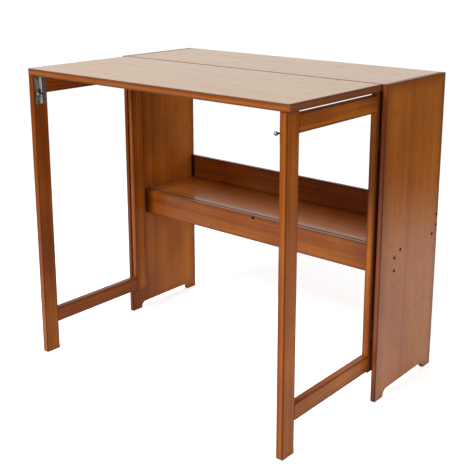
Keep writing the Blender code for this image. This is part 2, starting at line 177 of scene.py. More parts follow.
def makeStripGroup():
    look = stripLook
    tree, given, out = newGroup(
        "bambooStrips",
        [("Along", "Float", 0), ("Across", "Float", 0), ("Through", "Float", 0), ("Seed", "Float", 0),
         ("Strip Width", "Float", 0.02), ("Ply", "Float", 0.005), ("Knuckle Spacing", "Float", 0.3)],
        [("Tone", "Float"), ("Glue Line", "Float"), ("Knuckle", "Float"), ("Fibre", "Float"),
         ("Streak", "Float")])
    along, across, through, seed = given["Along"], given["Across"], given["Through"], given["Seed"]
    width, spacing = given["Strip Width"], given["Knuckle Spacing"]

    def times(value, factor):
        return calc(tree, "MULTIPLY", value, factor)

    ply = calc(tree, "FLOOR", calc(tree, "DIVIDE", through, given["Ply"]))
    cell = calc(tree, "ADD", calc(tree, "DIVIDE", across, width), times(ply, look["stagger"]))
    strip = calc(tree, "FLOOR", cell)
    dice = tree.nodes.new("ShaderNodeTexWhiteNoise")
    dice.noise_dimensions = "3D"
    feed(tree, dice.inputs["Vector"], vec(tree, strip, ply, seed))
    throws = tree.nodes.new("ShaderNodeSeparateColor")
    feed(tree, throws.inputs[0], dice.outputs["Color"])
    toneThrow, knuckleThrow, fibreThrow = throws.outputs
    feed(tree, out["Tone"], toneThrow)
    # distance from the nearest glue line
    side = calc(tree, "SUBTRACT", cell, strip)
    side = times(calc(tree, "MINIMUM", side, calc(tree, "SUBTRACT", 1.0, side)), width)
    feed(tree, out["Glue Line"], fade(tree, side, look["glueEdge"], look["glueCore"]))
    # knuckles: one short mark across each strip, not in line with its neighbours'
    spot = vec(tree, times(along, look["wobbleAlong"]), times(across, look["wobbleAcross"]), through)
    wobble = times(calc(tree, "SUBTRACT", noise(tree, spot, 1.0), 0.5), look["wobble"])
    turns = calc(tree, "ADD", calc(tree, "DIVIDE", along, spacing), times(knuckleThrow, look["knuckleThrow"]))
    turns = calc(tree, "ADD", turns, wobble)
    away = times(calc(tree, "ABSOLUTE", calc(tree, "SUBTRACT", calc(tree, "FRACT", turns), 0.5)), spacing)
    core = fade(tree, away, look["knuckleEdge"], look["knuckleCore"])
    halo = fade(tree, away, look["haloEdge"], look["haloCore"], 0.0, look["halo"])
    feed(tree, out["Knuckle"], calc(tree, "MAXIMUM", core, halo))
    # fibres: fine lines and broader streaks, both drawn out along the grain
    fine = vec(tree, times(along, look["fibreAlong"]), times(across, look["fibreAcross"]),
               times(through, look["fibreAcross"]))
    fine = vecCalc(tree, "ADD", fine, vec(tree, times(fibreThrow, look["fibreThrow"]), seed, strip))
    feed(tree, out["Fibre"], noise(tree, fine, 1.0, look["fibreDetail"], look["fibreRough"]))
    wide = vec(tree, times(along, look["streakAlong"]), times(across, look["streakAcross"]),
               times(through, look["streakAcross"]))
    wide = vecCalc(tree, "ADD", wide, vec(tree, seed, *look["streakStart"]))
    feed(tree, out["Streak"], noise(tree, wide, 1.0, roughness=look["streakRough"]))
    return tree


# arrises of a board, from its own lowest and highest corners
arrisLook = dict(ragged=130.0, spray=22.0, core=0.15)   # two noise scales, and the share that is fully dark


def makeArrisGroup():
    tree, given, out = newGroup(
        "boardArris",
        [("Position", "Vector", None), ("Low", "Vector", None), ("High", "Vector", None),
         ("Width", "Float", 0.003), ("Shade Width", "Float", 0.01)],
        [("Arris", "Float"), ("Shade", "Float")])
    position = given["Position"]
    inward = vecCalc(tree, "MINIMUM", vecCalc(tree, "SUBTRACT", position, given["Low"]),
                     vecCalc(tree, "SUBTRACT", given["High"], position))
    x, y, z = partsOf(tree, inward)
    nearest = calc(tree, "MINIMUM", calc(tree, "MINIMUM", x, y), z)
    farthest = calc(tree, "MAXIMUM", calc(tree, "MAXIMUM", x, y), z)
    total = calc(tree, "ADD", calc(tree, "ADD", x, y), z)
    second = calc(tree, "SUBTRACT", calc(tree, "SUBTRACT", total, nearest), farthest)
    ragged = calc(tree, "ADD", 0.5, noise(tree, position, arrisLook["ragged"]))
    reach = calc(tree, "MULTIPLY", given["Width"], ragged)
    feed(tree, out["Arris"], fade(tree, second, reach, calc(tree, "MULTIPLY", reach, arrisLook["core"])))
    # the stain is sprayed heavier towards the edges
    cloud = calc(tree, "ADD", 0.5, noise(tree, position, arrisLook["spray"]))
    feed(tree, out["Shade"], fade(tree, second, calc(tree, "MULTIPLY", given["Shade Width"], cloud), 0.0))
    return tree


# rubbed plating: cloudy tone, fine scratches that run up and down
platingLook = dict(
    cloudFrom=0.3, cloudTo=0.7, cloudDetail=3.0, cloudRough=0.6, cloudShare=0.6,
    scratchDraw=(1.0, 1.0, 0.06), scratchRough=0.7, scratchShare=0.45, bump=0.12, depth=0.0001,
)


def makePlatingGroup():
    look = platingLook
    tree, given, out = newGroup(
        "rubbedPlating",
        [("Position", "Vector", None), ("Cloud Size", "Float", 0.006), ("Scratch Size", "Float", 0.0006)],
        [("Cloud", "Float"), ("Scratch", "Float")])
    cloudScale = calc(tree, "DIVIDE", 1.0, given["Cloud Size"])
    cloud = noise(tree, given["Position"], cloudScale, look["cloudDetail"], look["cloudRough"])
    feed(tree, out["Cloud"], fade(tree, cloud, look["cloudFrom"], look["cloudTo"]))
    drawn = vecCalc(tree, "MULTIPLY", given["Position"], look["scratchDraw"])
    scratchScale = calc(tree, "DIVIDE", 1.0, given["Scratch Size"])
    feed(tree, out["Scratch"], noise(tree, drawn, scratchScale, roughness=look["scratchRough"]))
    return tree


stripGroup, arrisGroup, platingGroup = makeStripGroup(), makeArrisGroup(), makePlatingGroup()


def newMaterial(name):
    material = bpy.data.materials.new(name)
    material.use_nodes = True
    tree = material.node_tree
    tree.nodes.clear()
    shader = tree.nodes.new("ShaderNodeBsdfPrincipled")
    tree.links.new(shader.outputs[0], tree.nodes.new("ShaderNodeOutputMaterial").inputs[0])
    return material, tree, shader


def addBump(tree, shader, height, strength, depth):
    bump = tree.nodes.new("ShaderNodeBump")
    bump.inputs["Strength"].default_value = strength
    bump.inputs["Distance"].default_value = depth
    feed(tree, bump.inputs["Height"], height)
    feed(tree, shader.inputs["Normal"], bump.outputs[0])


def dress(node, material):
    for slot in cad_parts[node].material_slots:
        slot.material = material


# colours of the stained bamboo
stain = dict(
    light=(0.56, 0.178, 0.020, 1), dark=(0.20, 0.040, 0.004, 1),
    sheenLight=(0.42, 0.222, 0.062, 1), sheenDark=(0.28, 0.128, 0.030, 1),   # painted sheen: the upper face of the top is painted paler
    glue=(0.13, 0.030, 0.005, 1), knuckle=(0.12, 0.026, 0.004, 1), shade=(0.17, 0.034, 0.005, 1),
    # arris also serves the painted shade in the hinge gap; the last, near-black colour serves a dark joint
    # and the painted shade at board ends and round the cap screws
    arris=(0.075, 0.018, 0.004, 1), endGrain=(0.15, 0.034, 0.005, 1), darkJointAndShade=(0.014, 0.004, 0.001, 1),
)
# what all boards share: sizes in metres, how much of each dark colour shows,
# fades as shares of a band's width, and how squarely a face has to look along an axis
boardLook = dict(
    stripWidth=0.019, firstStrip=0.0045, knuckleSpacing=0.31, plies=3,
    middleTone=0.44, cloudScale=7.0, cloudAlong=0.6,
    glue=0.20, knuckle=0.27, paleKnuckle=0.17, shade=0.55, arris=0.75, ends=0.93, seam=0.95, hingeGapShade=0.90,
    dotScale=1100.0, dotDetail=1.0, dotFrom=0.35, dotTo=0.65, dotLow=0.60, dotHigh=0.95,
    holeRadius=0.0040, holeRim=0.0048, hingeGapShadeFade=0.003, endsFade=(1.7, 0.6), seamFade=(1.2, 0.7),
    turned=(0.6, 0.9), square=(0.7, 0.95), bareCoat=0.05, bump=0.22, depth=0.0004,
    rough=0.14, sawnRough=0.12, arrisRough=0.30,
)
# how much the marks in the strips add to the tone, the roughness and the relief
toneShares = {"Tone": 0.20, "Streak": 0.55, "Fibre": 0.36}
roughShares = {"Streak": 0.20, "Fibre": 0.18, "Knuckle": 0.08}
reliefShares = {"Glue Line": -0.7, "Streak": 1.4, "Knuckle": 0.6}

# axes are grain, across and through; gloss is the lacquer's refractive index and haze its roughness;
# edge darkens the narrow faces, patch is how uneven the stain is, grain how much the fibres show;
# arris, shade, ends, seam and the hinge band are widths of darker bands, the end and hinge bands being
# painted shade;
# the front shade is painted shade darkening a panel towards the front, and the lip highlight is a painted
# highlight on the upper edge
flat, upright, post, rail = (0, 1, 2), (0, 2, 1), (2, 1, 0), (1, 2, 0)
topWood = dict(gloss=1.40, coat=0.55, haze=0.27, arris=0.005, shade=0.012, paintedSheen=True, tone=0.065, edge=0.15,
               patch=0.40, grain=0.9)
shelfWood = dict(haze=0.16, arris=0.0042, paintedSheen=False, edge=0.3, patch=0.75, grain=1.0)
panelWood = dict(haze=0.16, arris=0.004, shade=0.030, paintedSheen=False, tone=0.10, edge=0.6, patch=0.45, grain=0.7)
gateWood = dict(gloss=1.19, coat=0.45, haze=0.16, arris=0.003, shade=0.009, paintedSheen=False, tone=-0.07, edge=0.0,
                patch=0.85, grain=1.0)
boards = {
    "flap_board": dict(topWood, axes=flat, seed=1.3),
    "rear_top_board": dict(topWood, axes=flat, seed=2.9),
    "shelf_board": dict(shelfWood, axes=flat, seed=4.1, gloss=1.37, coat=0.70, haze=0.11, shade=0.020,
                        tone=0.24, arris=0.0025, seam=0.005),
    "shelf_apron": dict(shelfWood, axes=upright, seed=21.7, gloss=1.27, coat=0.5, shade=0.014,
                        tone=-0.15, arris=0.002, edge=0.0, ends=0.0105, lipHighlight=0.45),
    "shelf_back_rail": dict(shelfWood, axes=upright, seed=6.2, gloss=1.20, coat=0.5, shade=0.022,
                            tone=0.02, ends=0.012),
    "side_panel_left": dict(panelWood, axes=post, seed=7.7, gloss=1.22, coat=0.6,
                            tone=0.06, patch=0.85, frontShade=0.7),
    "side_panel_right": dict(panelWood, axes=post, seed=8.4, gloss=1.27, coat=0.85, frontShade=0.15),
    # painted shade: the left leg is given a darker tone than the right one, for the shade under the top
    "front_leg_left": dict(gateWood, axes=post, seed=9.6, tone=-0.12),
    "front_leg_right": dict(gateWood, axes=post, seed=10.2, tone=-0.03),
    "rear_stile_left": dict(gateWood, axes=post, seed=11.5, hingeGapShade=0.0375),
    "rear_stile_right": dict(gateWood, axes=post, seed=12.8, hingeGapShade=0.0375),
    "top_rail_left": dict(gateWood, axes=rail, seed=13.1),
    "top_rail_right": dict(gateWood, axes=rail, seed=14.9),
    "bottom_rail_left": dict(gateWood, axes=rail, seed=15.3, tone=-0.15),
    "bottom_rail_right": dict(gateWood, axes=rail, seed=16.6, tone=-0.14),
}


def boardPlaces(tree, node, board):   # what a board's finish is worked out from
    coordinates = tree.nodes.new("ShaderNodeTexCoord").outputs
    axes = partsOf(tree, coordinates["Object"])
    low, high = boxOf(node)
    acrossAxis = board["axes"][1]
    across = calc(tree, "SUBTRACT", axes[acrossAxis], low[acrossAxis] - boardLook["firstStrip"])
    return dict(spot=coordinates["Object"], axes=axes, normals=partsOf(tree, coordinates["Normal"]),
                low=low, high=high, across=across)


def boardStrips(tree, board, at):
    grainAxis, _, throughAxis = board["axes"]
    low, high = at["low"][throughAxis], at["high"][throughAxis]
    ply = (high - low) / boardLook["plies"]
    through = calc(tree, "SUBTRACT", at["axes"][throughAxis], low - ply / 2)   # a face lies inside a ply
    return placeGroup(tree, stripGroup, Along=at["axes"][grainAxis], Across=at["across"], Through=through,
                      Seed=board["seed"], Strip_Width=boardLook["stripWidth"], Ply=ply,
                      Knuckle_Spacing=boardLook["knuckleSpacing"])


def boardTone(tree, board, at, strips):   # clouds in the stain, then each strip with its streaks and fibres
    grainAxis, acrossAxis, _ = board["axes"]
    drawnOut = [1.0, 1.0, 1.0]
    drawnOut[grainAxis] = boardLook["cloudAlong"]
    spot = vecCalc(tree, "MULTIPLY", at["spot"], drawnOut)
    cloud = noise(tree, vecCalc(tree, "ADD", spot, (board["seed"], 0, 0)), boardLook["cloudScale"])
    shares = {mark: share * board["grain"] for mark, share in toneShares.items()}
    middle = boardLook["middleTone"] + board["tone"] - (board["patch"] + sum(shares.values())) / 2
    tone = calc(tree, "MULTIPLY_ADD", cloud, board["patch"], middle)
    for mark, share in shares.items():
        tone = calc(tree, "MULTIPLY_ADD", strips[mark], share, tone)
    # painted shade: the panel is darker towards its front edge, under the top
    if "frontShade" in board:
        fromFront = calc(tree, "DIVIDE", at["across"], at["high"][acrossAxis] - at["low"][acrossAxis])
        tone = calc(tree, "MULTIPLY_ADD", calc(tree, "SUBTRACT", fromFront, 0.5), board["frontShade"], tone)
    return fade(tree, tone, 0.0, 1.0)


def boardColour(tree, board, at, tone, strips, edges, sawn):
    look = boardLook
    grainAxis, acrossAxis, throughAxis = board["axes"]
    colour = tint(tree, tone, stain["dark"], stain["light"])
    if board["paintedSheen"]:   # painted sheen: the upper face is painted paler; the edges and the underside keep the full stain
        sheenFace = fade(tree, at["normals"][throughAxis], *look["square"])
        colour = tint(tree, sheenFace, colour, tint(tree, tone, stain["sheenDark"], stain["sheenLight"]))
    knuckle = look["paleKnuckle"] if board["paintedSheen"] else look["knuckle"]
    colour = tint(tree, calc(tree, "MULTIPLY", strips["Glue Line"], look["glue"]), colour, stain["glue"])
    colour = tint(tree, calc(tree, "MULTIPLY", strips["Knuckle"], knuckle), colour, stain["knuckle"])
    colour = tint(tree, calc(tree, "MULTIPLY", edges["Shade"], look["shade"]), colour, stain["shade"])
    # sawn ends drink more stain, in dots
    dots = noise(tree, at["spot"], look["dotScale"], look["dotDetail"])
    dots = fade(tree, dots, look["dotFrom"], look["dotTo"], look["dotLow"], look["dotHigh"])
    colour = tint(tree, calc(tree, "MULTIPLY", sawn, dots), colour, stain["endGrain"])
    narrow = calc(tree, "ABSOLUTE", at["normals"][acrossAxis])
    colour = tint(tree, fade(tree, narrow, *look["turned"], 0.0, board["edge"]), colour, stain["shade"])
    # painted highlight: the apron's upper face is lightened where its rounded edge catches the light
    if "lipHighlight" in board:
        upper = fade(tree, at["normals"][2], *look["square"], 0.0, board["lipHighlight"])
        colour = tint(tree, upper, colour, stain["sheenLight"])
    if "ends" in board:   # painted shade where a board butts against the panels
        toEnd = calc(tree, "MINIMUM", calc(tree, "SUBTRACT", at["axes"][grainAxis], at["low"][grainAxis]),
                     calc(tree, "SUBTRACT", at["high"][grainAxis], at["axes"][grainAxis]))
        start, end = [board["ends"] * share for share in look["endsFade"]]
        colour = tint(tree, fade(tree, toEnd, start, end, 0.0, look["ends"]), colour, stain["darkJointAndShade"])
    # the dark line on each arris is darker stain and also a painted dark reflection, where the rounded edge
    # mirrors the dark room
    return tint(tree, calc(tree, "MULTIPLY", edges["Arris"], look["arris"]), colour, stain["arris"])


def capScrewsIn(node):   # the cap screws that are sunk into a board's face
    middle = dict(shelf_apron="apron_middle_screw", shelf_back_rail="back_rail_middle_screw")
    if node in middle:
        return [middle[node]]
    if not node.startswith("side_panel"):
        return []
    side = node[len("side_panel"):]
    return [name for name in sorted(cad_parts)
            if "_screw_" in name and name.endswith(side) and not name.startswith("bolt_")]


def jointAndShadeBands(tree, node, board, at):   # dark bands with little lacquer, each with its colour: the dark joint along a board's front, and painted shade round the cap screws and in the hinge gap
    look, bands = boardLook, []
    if "seam" in board:   # the joint along a board's front
        toFront = calc(tree, "SUBTRACT", at["axes"][1], at["low"].y)
        start, end = [board["seam"] * share for share in look["seamFade"]]
        bands.append((fade(tree, toFront, start, end, 0.0, look["seam"]), "darkJointAndShade"))
    inPlane = [1.0, 1.0, 1.0]
    inPlane[board["axes"][2]] = 0.0
    # painted shade in the recess round each cap screw
    for screw in capScrewsIn(node):
        offset = vecCalc(tree, "SUBTRACT", at["spot"], middleOf(screw))
        away = spanOf(tree, vecCalc(tree, "MULTIPLY", offset, inPlane))
        bands.append((fade(tree, away, look["holeRim"], look["holeRadius"]), "darkJointAndShade"))
    if "hingeGapShade" in board:   # painted shade on the outer face, in the gap at the hinges
        outward = 1.0 if node.endswith("_right") else -1.0
        outer = fade(tree, calc(tree, "MULTIPLY", at["normals"][0], outward), *look["turned"])
        toHinge = calc(tree, "SUBTRACT", at["high"].y, at["axes"][1])
        band = fade(tree, toHinge, board["hingeGapShade"], board["hingeGapShade"] - look["hingeGapShadeFade"], 0.0, look["hingeGapShade"])
        bands.append((calc(tree, "MULTIPLY", band, outer), "arris"))
    return bands


def bambooBoard(node, board):
    material, tree, shader = newMaterial("bamboo_" + node)
    at = boardPlaces(tree, node, board)
    strips = boardStrips(tree, board, at)
    edges = placeGroup(tree, arrisGroup, Position=at["spot"], Low=at["low"], High=at["high"],
                       Width=board["arris"], Shade_Width=board["shade"])
    sawn = fade(tree, calc(tree, "ABSOLUTE", at["normals"][board["axes"][0]]), *boardLook["turned"])
    colour = boardColour(tree, board, at, boardTone(tree, board, at, strips), strips, edges, sawn)
    bare = calc(tree, "MAXIMUM", edges["Arris"], sawn)   # lacquer is thin on an arris and on a sawn end
    for band, dark in jointAndShadeBands(tree, node, board, at):
        colour = tint(tree, band, colour, stain[dark])
        bare = calc(tree, "MAXIMUM", bare, band)
    rough = calc(tree, "MULTIPLY_ADD", sawn, boardLook["sawnRough"], boardLook["rough"])
    rough = calc(tree, "MULTIPLY_ADD", edges["Arris"], boardLook["arrisRough"], rough)
    for mark, share in roughShares.items():
        rough = calc(tree, "MULTIPLY_ADD", strips[mark], share, rough)
    relief = strips["Fibre"]
    for mark, share in reliefShares.items():
        relief = calc(tree, "MULTIPLY_ADD", strips[mark], share, relief)
    feed(tree, shader.inputs["Base Color"], colour)
    feed(tree, shader.inputs["Roughness"], rough)
    feed(tree, shader.inputs["Coat Weight"], fade(tree, bare, 0.0, 1.0, board["coat"], boardLook["bareCoat"]))
    addBump(tree, shader, relief, boardLook["bump"], boardLook["depth"])
    shader.inputs["IOR"].default_value = board["gloss"]
    shader.inputs["Coat IOR"].default_value = board["gloss"]
    shader.inputs["Coat Roughness"].default_value = board["haze"]
    return material


for node, board in boards.items():
    dress(node, bambooBoard(node, board))
print("bamboo boards:", len(boards))

# metal finishes: rough is the smoothest place and spread what the scratches add to it;
# cloud and scratch are the sizes of the marks, in metres
platings = {
    "zincPlate": dict(light=(0.45, 0.43, 0.395, 1), dark=(0.16, 0.152, 0.138, 1), metal=1.0,
                      rough=0.28, spread=0.24, cloud=0.005, scratch=0.0007),
    "dullZinc": dict(light=(0.34, 0.325, 0.295, 1), dark=(0.13, 0.122, 0.105, 1), metal=1.0,
                     rough=0.28, spread=0.24, cloud=0.006, scratch=0.0007),
    # painted reflection: the polished zinc is given a dark colour, for the dark room it mirrors
    "brightZinc": dict(light=(0.24, 0.235, 0.225, 1), dark=(0.12, 0.117, 0.11, 1), metal=1.0,
                       rough=0.08, spread=0.14, cloud=0.004, scratch=0.0006),
    "blackenedSteel": dict(light=(0.022, 0.018, 0.014, 1), dark=(0.006, 0.005, 0.004, 1), metal=0.85,
                           rough=0.39, spread=0.22, cloud=0.003, scratch=0.0005),
}


def platedMetal(name, finish):
    material, tree, shader = newMaterial(name)
    spot = tree.nodes.new("ShaderNodeTexCoord").outputs["Object"]
    rubbed = placeGroup(tree, platingGroup, Position=spot, Cloud_Size=finish["cloud"],
                        Scratch_Size=finish["scratch"])
    mixed = calc(tree, "MULTIPLY", rubbed["Cloud"], platingLook["cloudShare"])
    mixed = calc(tree, "MULTIPLY_ADD", rubbed["Scratch"], platingLook["scratchShare"], mixed)
    rough = calc(tree, "MULTIPLY_ADD", rubbed["Scratch"], finish["spread"], finish["rough"])
    feed(tree, shader.inputs["Base Color"], tint(tree, mixed, finish["dark"], finish["light"]))
    feed(tree, shader.inputs["Roughness"], rough)
    shader.inputs["Metallic"].default_value = finish["metal"]
    addBump(tree, shader, rubbed["Scratch"], platingLook["bump"], platingLook["depth"])
    return material


def platingOf(node):
    if node.startswith(("bolt_rod", "bolt_knob")):
        return "brightZinc"
    if node.startswith(("gate_hinge", "flap_hinge")):
        return "dullZinc"
    return "zincPlate" if node.startswith("bolt_") else "blackenedSteel"


metals = {name: platedMetal(name, finish) for name, finish in platings.items()}
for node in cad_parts:
    if node not in boards:
        dress(node, metals[platingOf(node)])
print("metal finishes:", len(metals))


# modelling helpers; squarely and parallel are cosines
meshing = dict(squarely=0.9, parallel=0.99, weld=0.000005, smoothAngle=35)


def choose(piece, kind, test):
    bpy.ops.object.mode_set(mode="OBJECT")
    mesh = piece.data
    for items in (mesh.vertices, mesh.edges, mesh.polygons):
        items.foreach_set("select", [False] * len(items))
    for item in getattr(mesh, kind):
        item.select = test(item)
    scene.tool_settings.mesh_select_mode = (kind == "vertices", kind == "edges", kind == "polygons")
    bpy.ops.object.mode_set(mode="EDIT")


def along(piece, axis):   # a test for edges that run along an axis
    def test(edge):
        start, end = [piece.data.vertices[i].co for i in edge.vertices]
        return abs((start - end).normalized().dot(axis)) > meshing["parallel"]
    return test


def looking(way):   # a test for faces that look one way
    return lambda face: face.normal.dot(way) > meshing["squarely"]


def atEnds(face):   # a test for the flat ends of an upright cylinder
    return abs(face.normal.z) > meshing["squarely"]


def onlySelected(piece):
    bpy.ops.object.select_all(action="DESELECT")
    piece.select_set(True)
    bpy.context.view_layer.objects.active = piece


def settled(name):
    piece = bpy.context.object
    bpy.ops.object.mode_set(mode="OBJECT")
    bpy.ops.object.transform_apply(location=True, rotation=True, scale=True)
    piece.name = piece.data.name = name
    return piece


def applied(piece, kind, **settings):
    bpy.ops.object.mode_set(mode="OBJECT")
    bpy.context.view_layer.objects.active = piece
    modifier = piece.modifiers.new(kind.lower(), kind)
    for label, value in settings.items():
        setattr(modifier, label, value)
    bpy.ops.object.modifier_apply(modifier=modifier.name)


def combined(piece, tool, operation):
    applied(piece, "BOOLEAN", object=tool, operation=operation, solver="EXACT")
    bpy.data.objects.remove(tool)


def cleaned(piece, angle=meshing["smoothAngle"]):
    bpy.ops.object.mode_set(mode="OBJECT")
    onlySelected(piece)
    bpy.ops.object.mode_set(mode="EDIT")
    bpy.ops.mesh.select_all(action="SELECT")
    bpy.ops.mesh.remove_doubles(threshold=meshing["weld"])
    bpy.ops.mesh.normals_make_consistent(inside=False)
    bpy.ops.object.mode_set(mode="OBJECT")
    bpy.ops.object.shade_smooth_by_angle(angle=math.radians(angle))


def copied(piece, name):   # with a mesh of its own
    copy = piece.copy()
    copy.data = piece.data.copy()
    copy.name = copy.data.name = name
    scene.collection.objects.link(copy)
    onlySelected(copy)
    return copy


def otherHand(piece, name):   # the right-hand copy
    copy = copied(piece, name)
    copy.scale.x = -1
    bpy.ops.object.transform_apply(location=True, rotation=True, scale=True)
    cleaned(copy)
    return copy


def fitted(piece, material, body, node=None):
    piece.data.materials.clear()
    piece.data.materials.append(metals[material])
    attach(piece, body)
    if node:
        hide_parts(node)


# sliding bolt: a pressed plate with a slotted case for the rod, and a ball on a stem
boltCase = dict(
    thickness=0.0015, corner=0.0035, cornerSteps=5, border=0.0022, pressed=0.0004,
    softEdge=0.0003, softAngle=50, softSteps=2,
    caseRadius=0.0055, boreRadius=0.0040, caseSides=40, topDrop=0.001, footLift=0.003,
    slotHalf=0.0027, slotRound=0.9, slotSteps=5, notchWide=0.0085, notchRound=0.8, notchSteps=4,
    cutFrom=0.002, cutReach=0.008, throw=0.009,   # the cuts start this far from the rod's axis
    ribAside=0.0070, ribRadius=0.0009, ribLength=0.050, ribRound=0.9, ribSides=16, ribSteps=4,
)
boltBall = dict(segments=32, rings=20, neck=0.86, collar=0.06, stem=0.0020, root=0.0014)
sideways = Vector((1, 0, 0))


def ballCentre():
    low, high = boxOf("bolt_knob_left")
    radius = (high.z - low.z) / 2
    return Vector((high.x - radius, low.y + radius, low.z + radius)), radius


def rodAxis(height):
    middle = middleOf("bolt_rod_left")
    return Vector((middle.x, middle.y, height))


def softened(piece):
    applied(piece, "BEVEL", width=boltCase["softEdge"], segments=boltCase["softSteps"], limit_method="ANGLE",
            angle_limit=math.radians(boltCase["softAngle"]))


def makePlate(low, high):
    thick = boltCase["thickness"]
    middle = (low + high) / 2
    bpy.ops.mesh.primitive_cube_add(size=1, location=(low.x + thick / 2, middle.y, middle.z),
                                    scale=(thick, high.y - low.y, high.z - low.z))
    plate = settled("boltCase_left")
    choose(plate, "edges", along(plate, sideways))
    bpy.ops.mesh.bevel(offset=boltCase["corner"], segments=boltCase["cornerSteps"])
    choose(plate, "polygons", looking(sideways))
    bpy.ops.mesh.inset(thickness=boltCase["border"], depth=-boltCase["pressed"])
    softened(plate)
    # ribs pressed up beside the case
    face = low.x + thick - boltCase["pressed"]
    for aside in (-boltCase["ribAside"], boltCase["ribAside"]):
        bpy.ops.mesh.primitive_cylinder_add(vertices=boltCase["ribSides"], radius=boltCase["ribRadius"],
                                            depth=boltCase["ribLength"],
                                            location=(face, rodAxis(0).y + aside, middle.z))
        rib = settled("rib")
        choose(rib, "polygons", atEnds)
        bpy.ops.mesh.bevel(offset=boltCase["ribRadius"] * boltCase["ribRound"], segments=boltCase["ribSteps"],
                           affect="EDGES")
        applied(rib, "TRIANGULATE")
        combined(plate, rib, "UNION")
    return plate


def cutOut(tube, cut, way, height, size):   # a rounded opening through one side of the tube
    middle = boltCase["cutFrom"] + boltCase["cutReach"] / 2
    bpy.ops.mesh.primitive_cube_add(size=1, location=rodAxis(height) + way * middle,
                                    rotation=(0, 0, math.atan2(way.y, way.x)),
                                    scale=(boltCase["cutReach"], *size))
    tool = settled(cut + "Tool")
    choose(tool, "edges", along(tool, way))
    bpy.ops.mesh.bevel(offset=boltCase["slotHalf"] * boltCase[cut + "Round"],
                       segments=boltCase[cut + "Steps"])
    bpy.ops.object.mode_set(mode="OBJECT")
    combined(tube, tool, "DIFFERENCE")


def makeTube(top, foot):   # the case for the rod, with a slot and a catch for the stem
    bpy.ops.mesh.primitive_cylinder_add(vertices=boltCase["caseSides"], radius=boltCase["caseRadius"],
                                        depth=top - foot, location=rodAxis((top + foot) / 2))
    tube = settled("tube")
    choose(tube, "polygons", atEnds)
    bpy.ops.mesh.inset(thickness=boltCase["caseRadius"] - boltCase["boreRadius"])
    bpy.ops.mesh.bridge_edge_loops()
    softened(tube)
    ball, _ = ballCentre()
    out = (ball - rodAxis(ball.z)).normalized()
    wide, travel = 2 * boltCase["slotHalf"], boltCase["throw"]
    cutOut(tube, "slot", out, ball.z + travel / 2, (wide, travel + wide))
    cutOut(tube, "notch", sideways, ball.z, (boltCase["notchWide"], wide))
    return tube


def makeBoltCase():
    low, high = boxOf("bolt_body_left")
    case = makePlate(low, high)
    combined(case, makeTube(high.z - boltCase["topDrop"], low.z + boltCase["footLift"]), "UNION")
    cleaned(case)
    return case


def makeBoltBall():
    centre, radius = ballCentre()
    out = centre - rodAxis(centre.z)
    neck, collar = boltBall["neck"] * radius, boltBall["collar"] * radius
    bpy.ops.mesh.primitive_uv_sphere_add(segments=boltBall["segments"], ring_count=boltBall["rings"],
                                         radius=radius, location=(0, 0, 0))
    ball = settled("boltBall_left")
    choose(ball, "vertices", lambda spot: spot.co.z < -neck)
    narrowing = boltBall["stem"] / max(spot.co.xy.length for spot in ball.data.vertices if spot.co.z < -neck)
    bpy.ops.transform.resize(value=(1, 1, 0), center_override=(0, 0, -neck))
    bpy.ops.mesh.extrude_region_move(TRANSFORM_OT_translate=dict(value=(0, 0, -collar)))
    bpy.ops.transform.resize(value=(narrowing, narrowing, 1), center_override=(0, 0, -neck))
    stemLength = out.length - neck - collar - boltBall["root"]
    bpy.ops.mesh.extrude_region_move(TRANSFORM_OT_translate=dict(value=(0, 0, -stemLength)))
    bpy.ops.object.mode_set(mode="OBJECT")
    ball.rotation_euler = out.to_track_quat("Z", "Y").to_euler()
    ball.location = centre
    bpy.ops.object.transform_apply(location=True, rotation=True, scale=True)
    cleaned(ball)
    return ball


leftCase, leftBall = makeBoltCase(), makeBoltBall()
fitted(leftCase, "zincPlate", "left_gate", "bolt_body_left")
fitted(leftBall, "brightZinc", "left_bolt", "bolt_knob_left")
fitted(otherHand(leftCase, "boltCase_right"), "zincPlate", "right_gate", "bolt_body_right")
fitted(otherHand(leftBall, "boltBall_right"), "brightZinc", "right_bolt", "bolt_knob_right")
print("sliding bolts:", len(leftCase.data.polygons), "and", len(leftBall.data.polygons), "faces")

# cross-head screws of the hinges and bolts: domed head, cross recess, shank to a point
crossScrew = dict(
    radius=0.0031, sides=24, rim=0.0003, shoulderIn=0.0008, shoulderUp=0.0005, crownIn=0.0010, crownUp=0.0003,
    shank=0.0014, length=0.0072, tip=0.25, tipShare=0.3, crossLong=0.0034, crossWide=0.0007, crossDeep=0.0004,
    leafInset=0.009, leafSpread=0.030, leafThick=0.0015, pinToWood=0.004, smoothAngle=30,
    turn=37,   # each cross is left at another angle, in degrees
)


